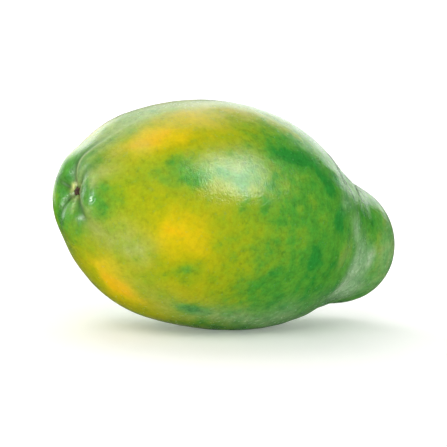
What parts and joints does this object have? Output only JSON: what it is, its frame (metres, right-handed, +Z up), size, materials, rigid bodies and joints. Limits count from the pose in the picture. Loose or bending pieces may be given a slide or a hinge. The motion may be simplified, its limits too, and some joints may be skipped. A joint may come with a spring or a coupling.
{
  "type": "papaya",
  "caption": "Whole half-ripe papaya lying on its belly: a lobed blossom end, an egg-shaped body and a narrower neck with a sunken stalk scar.",
  "frame": {"origin": "middle of the small flat spot that the fruit rests on", "axes": "+X runs under the fruit from its blossom end towards its stalk end, +Z is up from the surface that it lies on"},
  "size_m": [0.1839, 0.1049, 0.1051],
  "materials": {
    "skin": "smooth waxy skin, mottled green and yellow"
  },
  "bodies": {
    "root": {"papaya": "skin"}
  },
  "joints": []
}
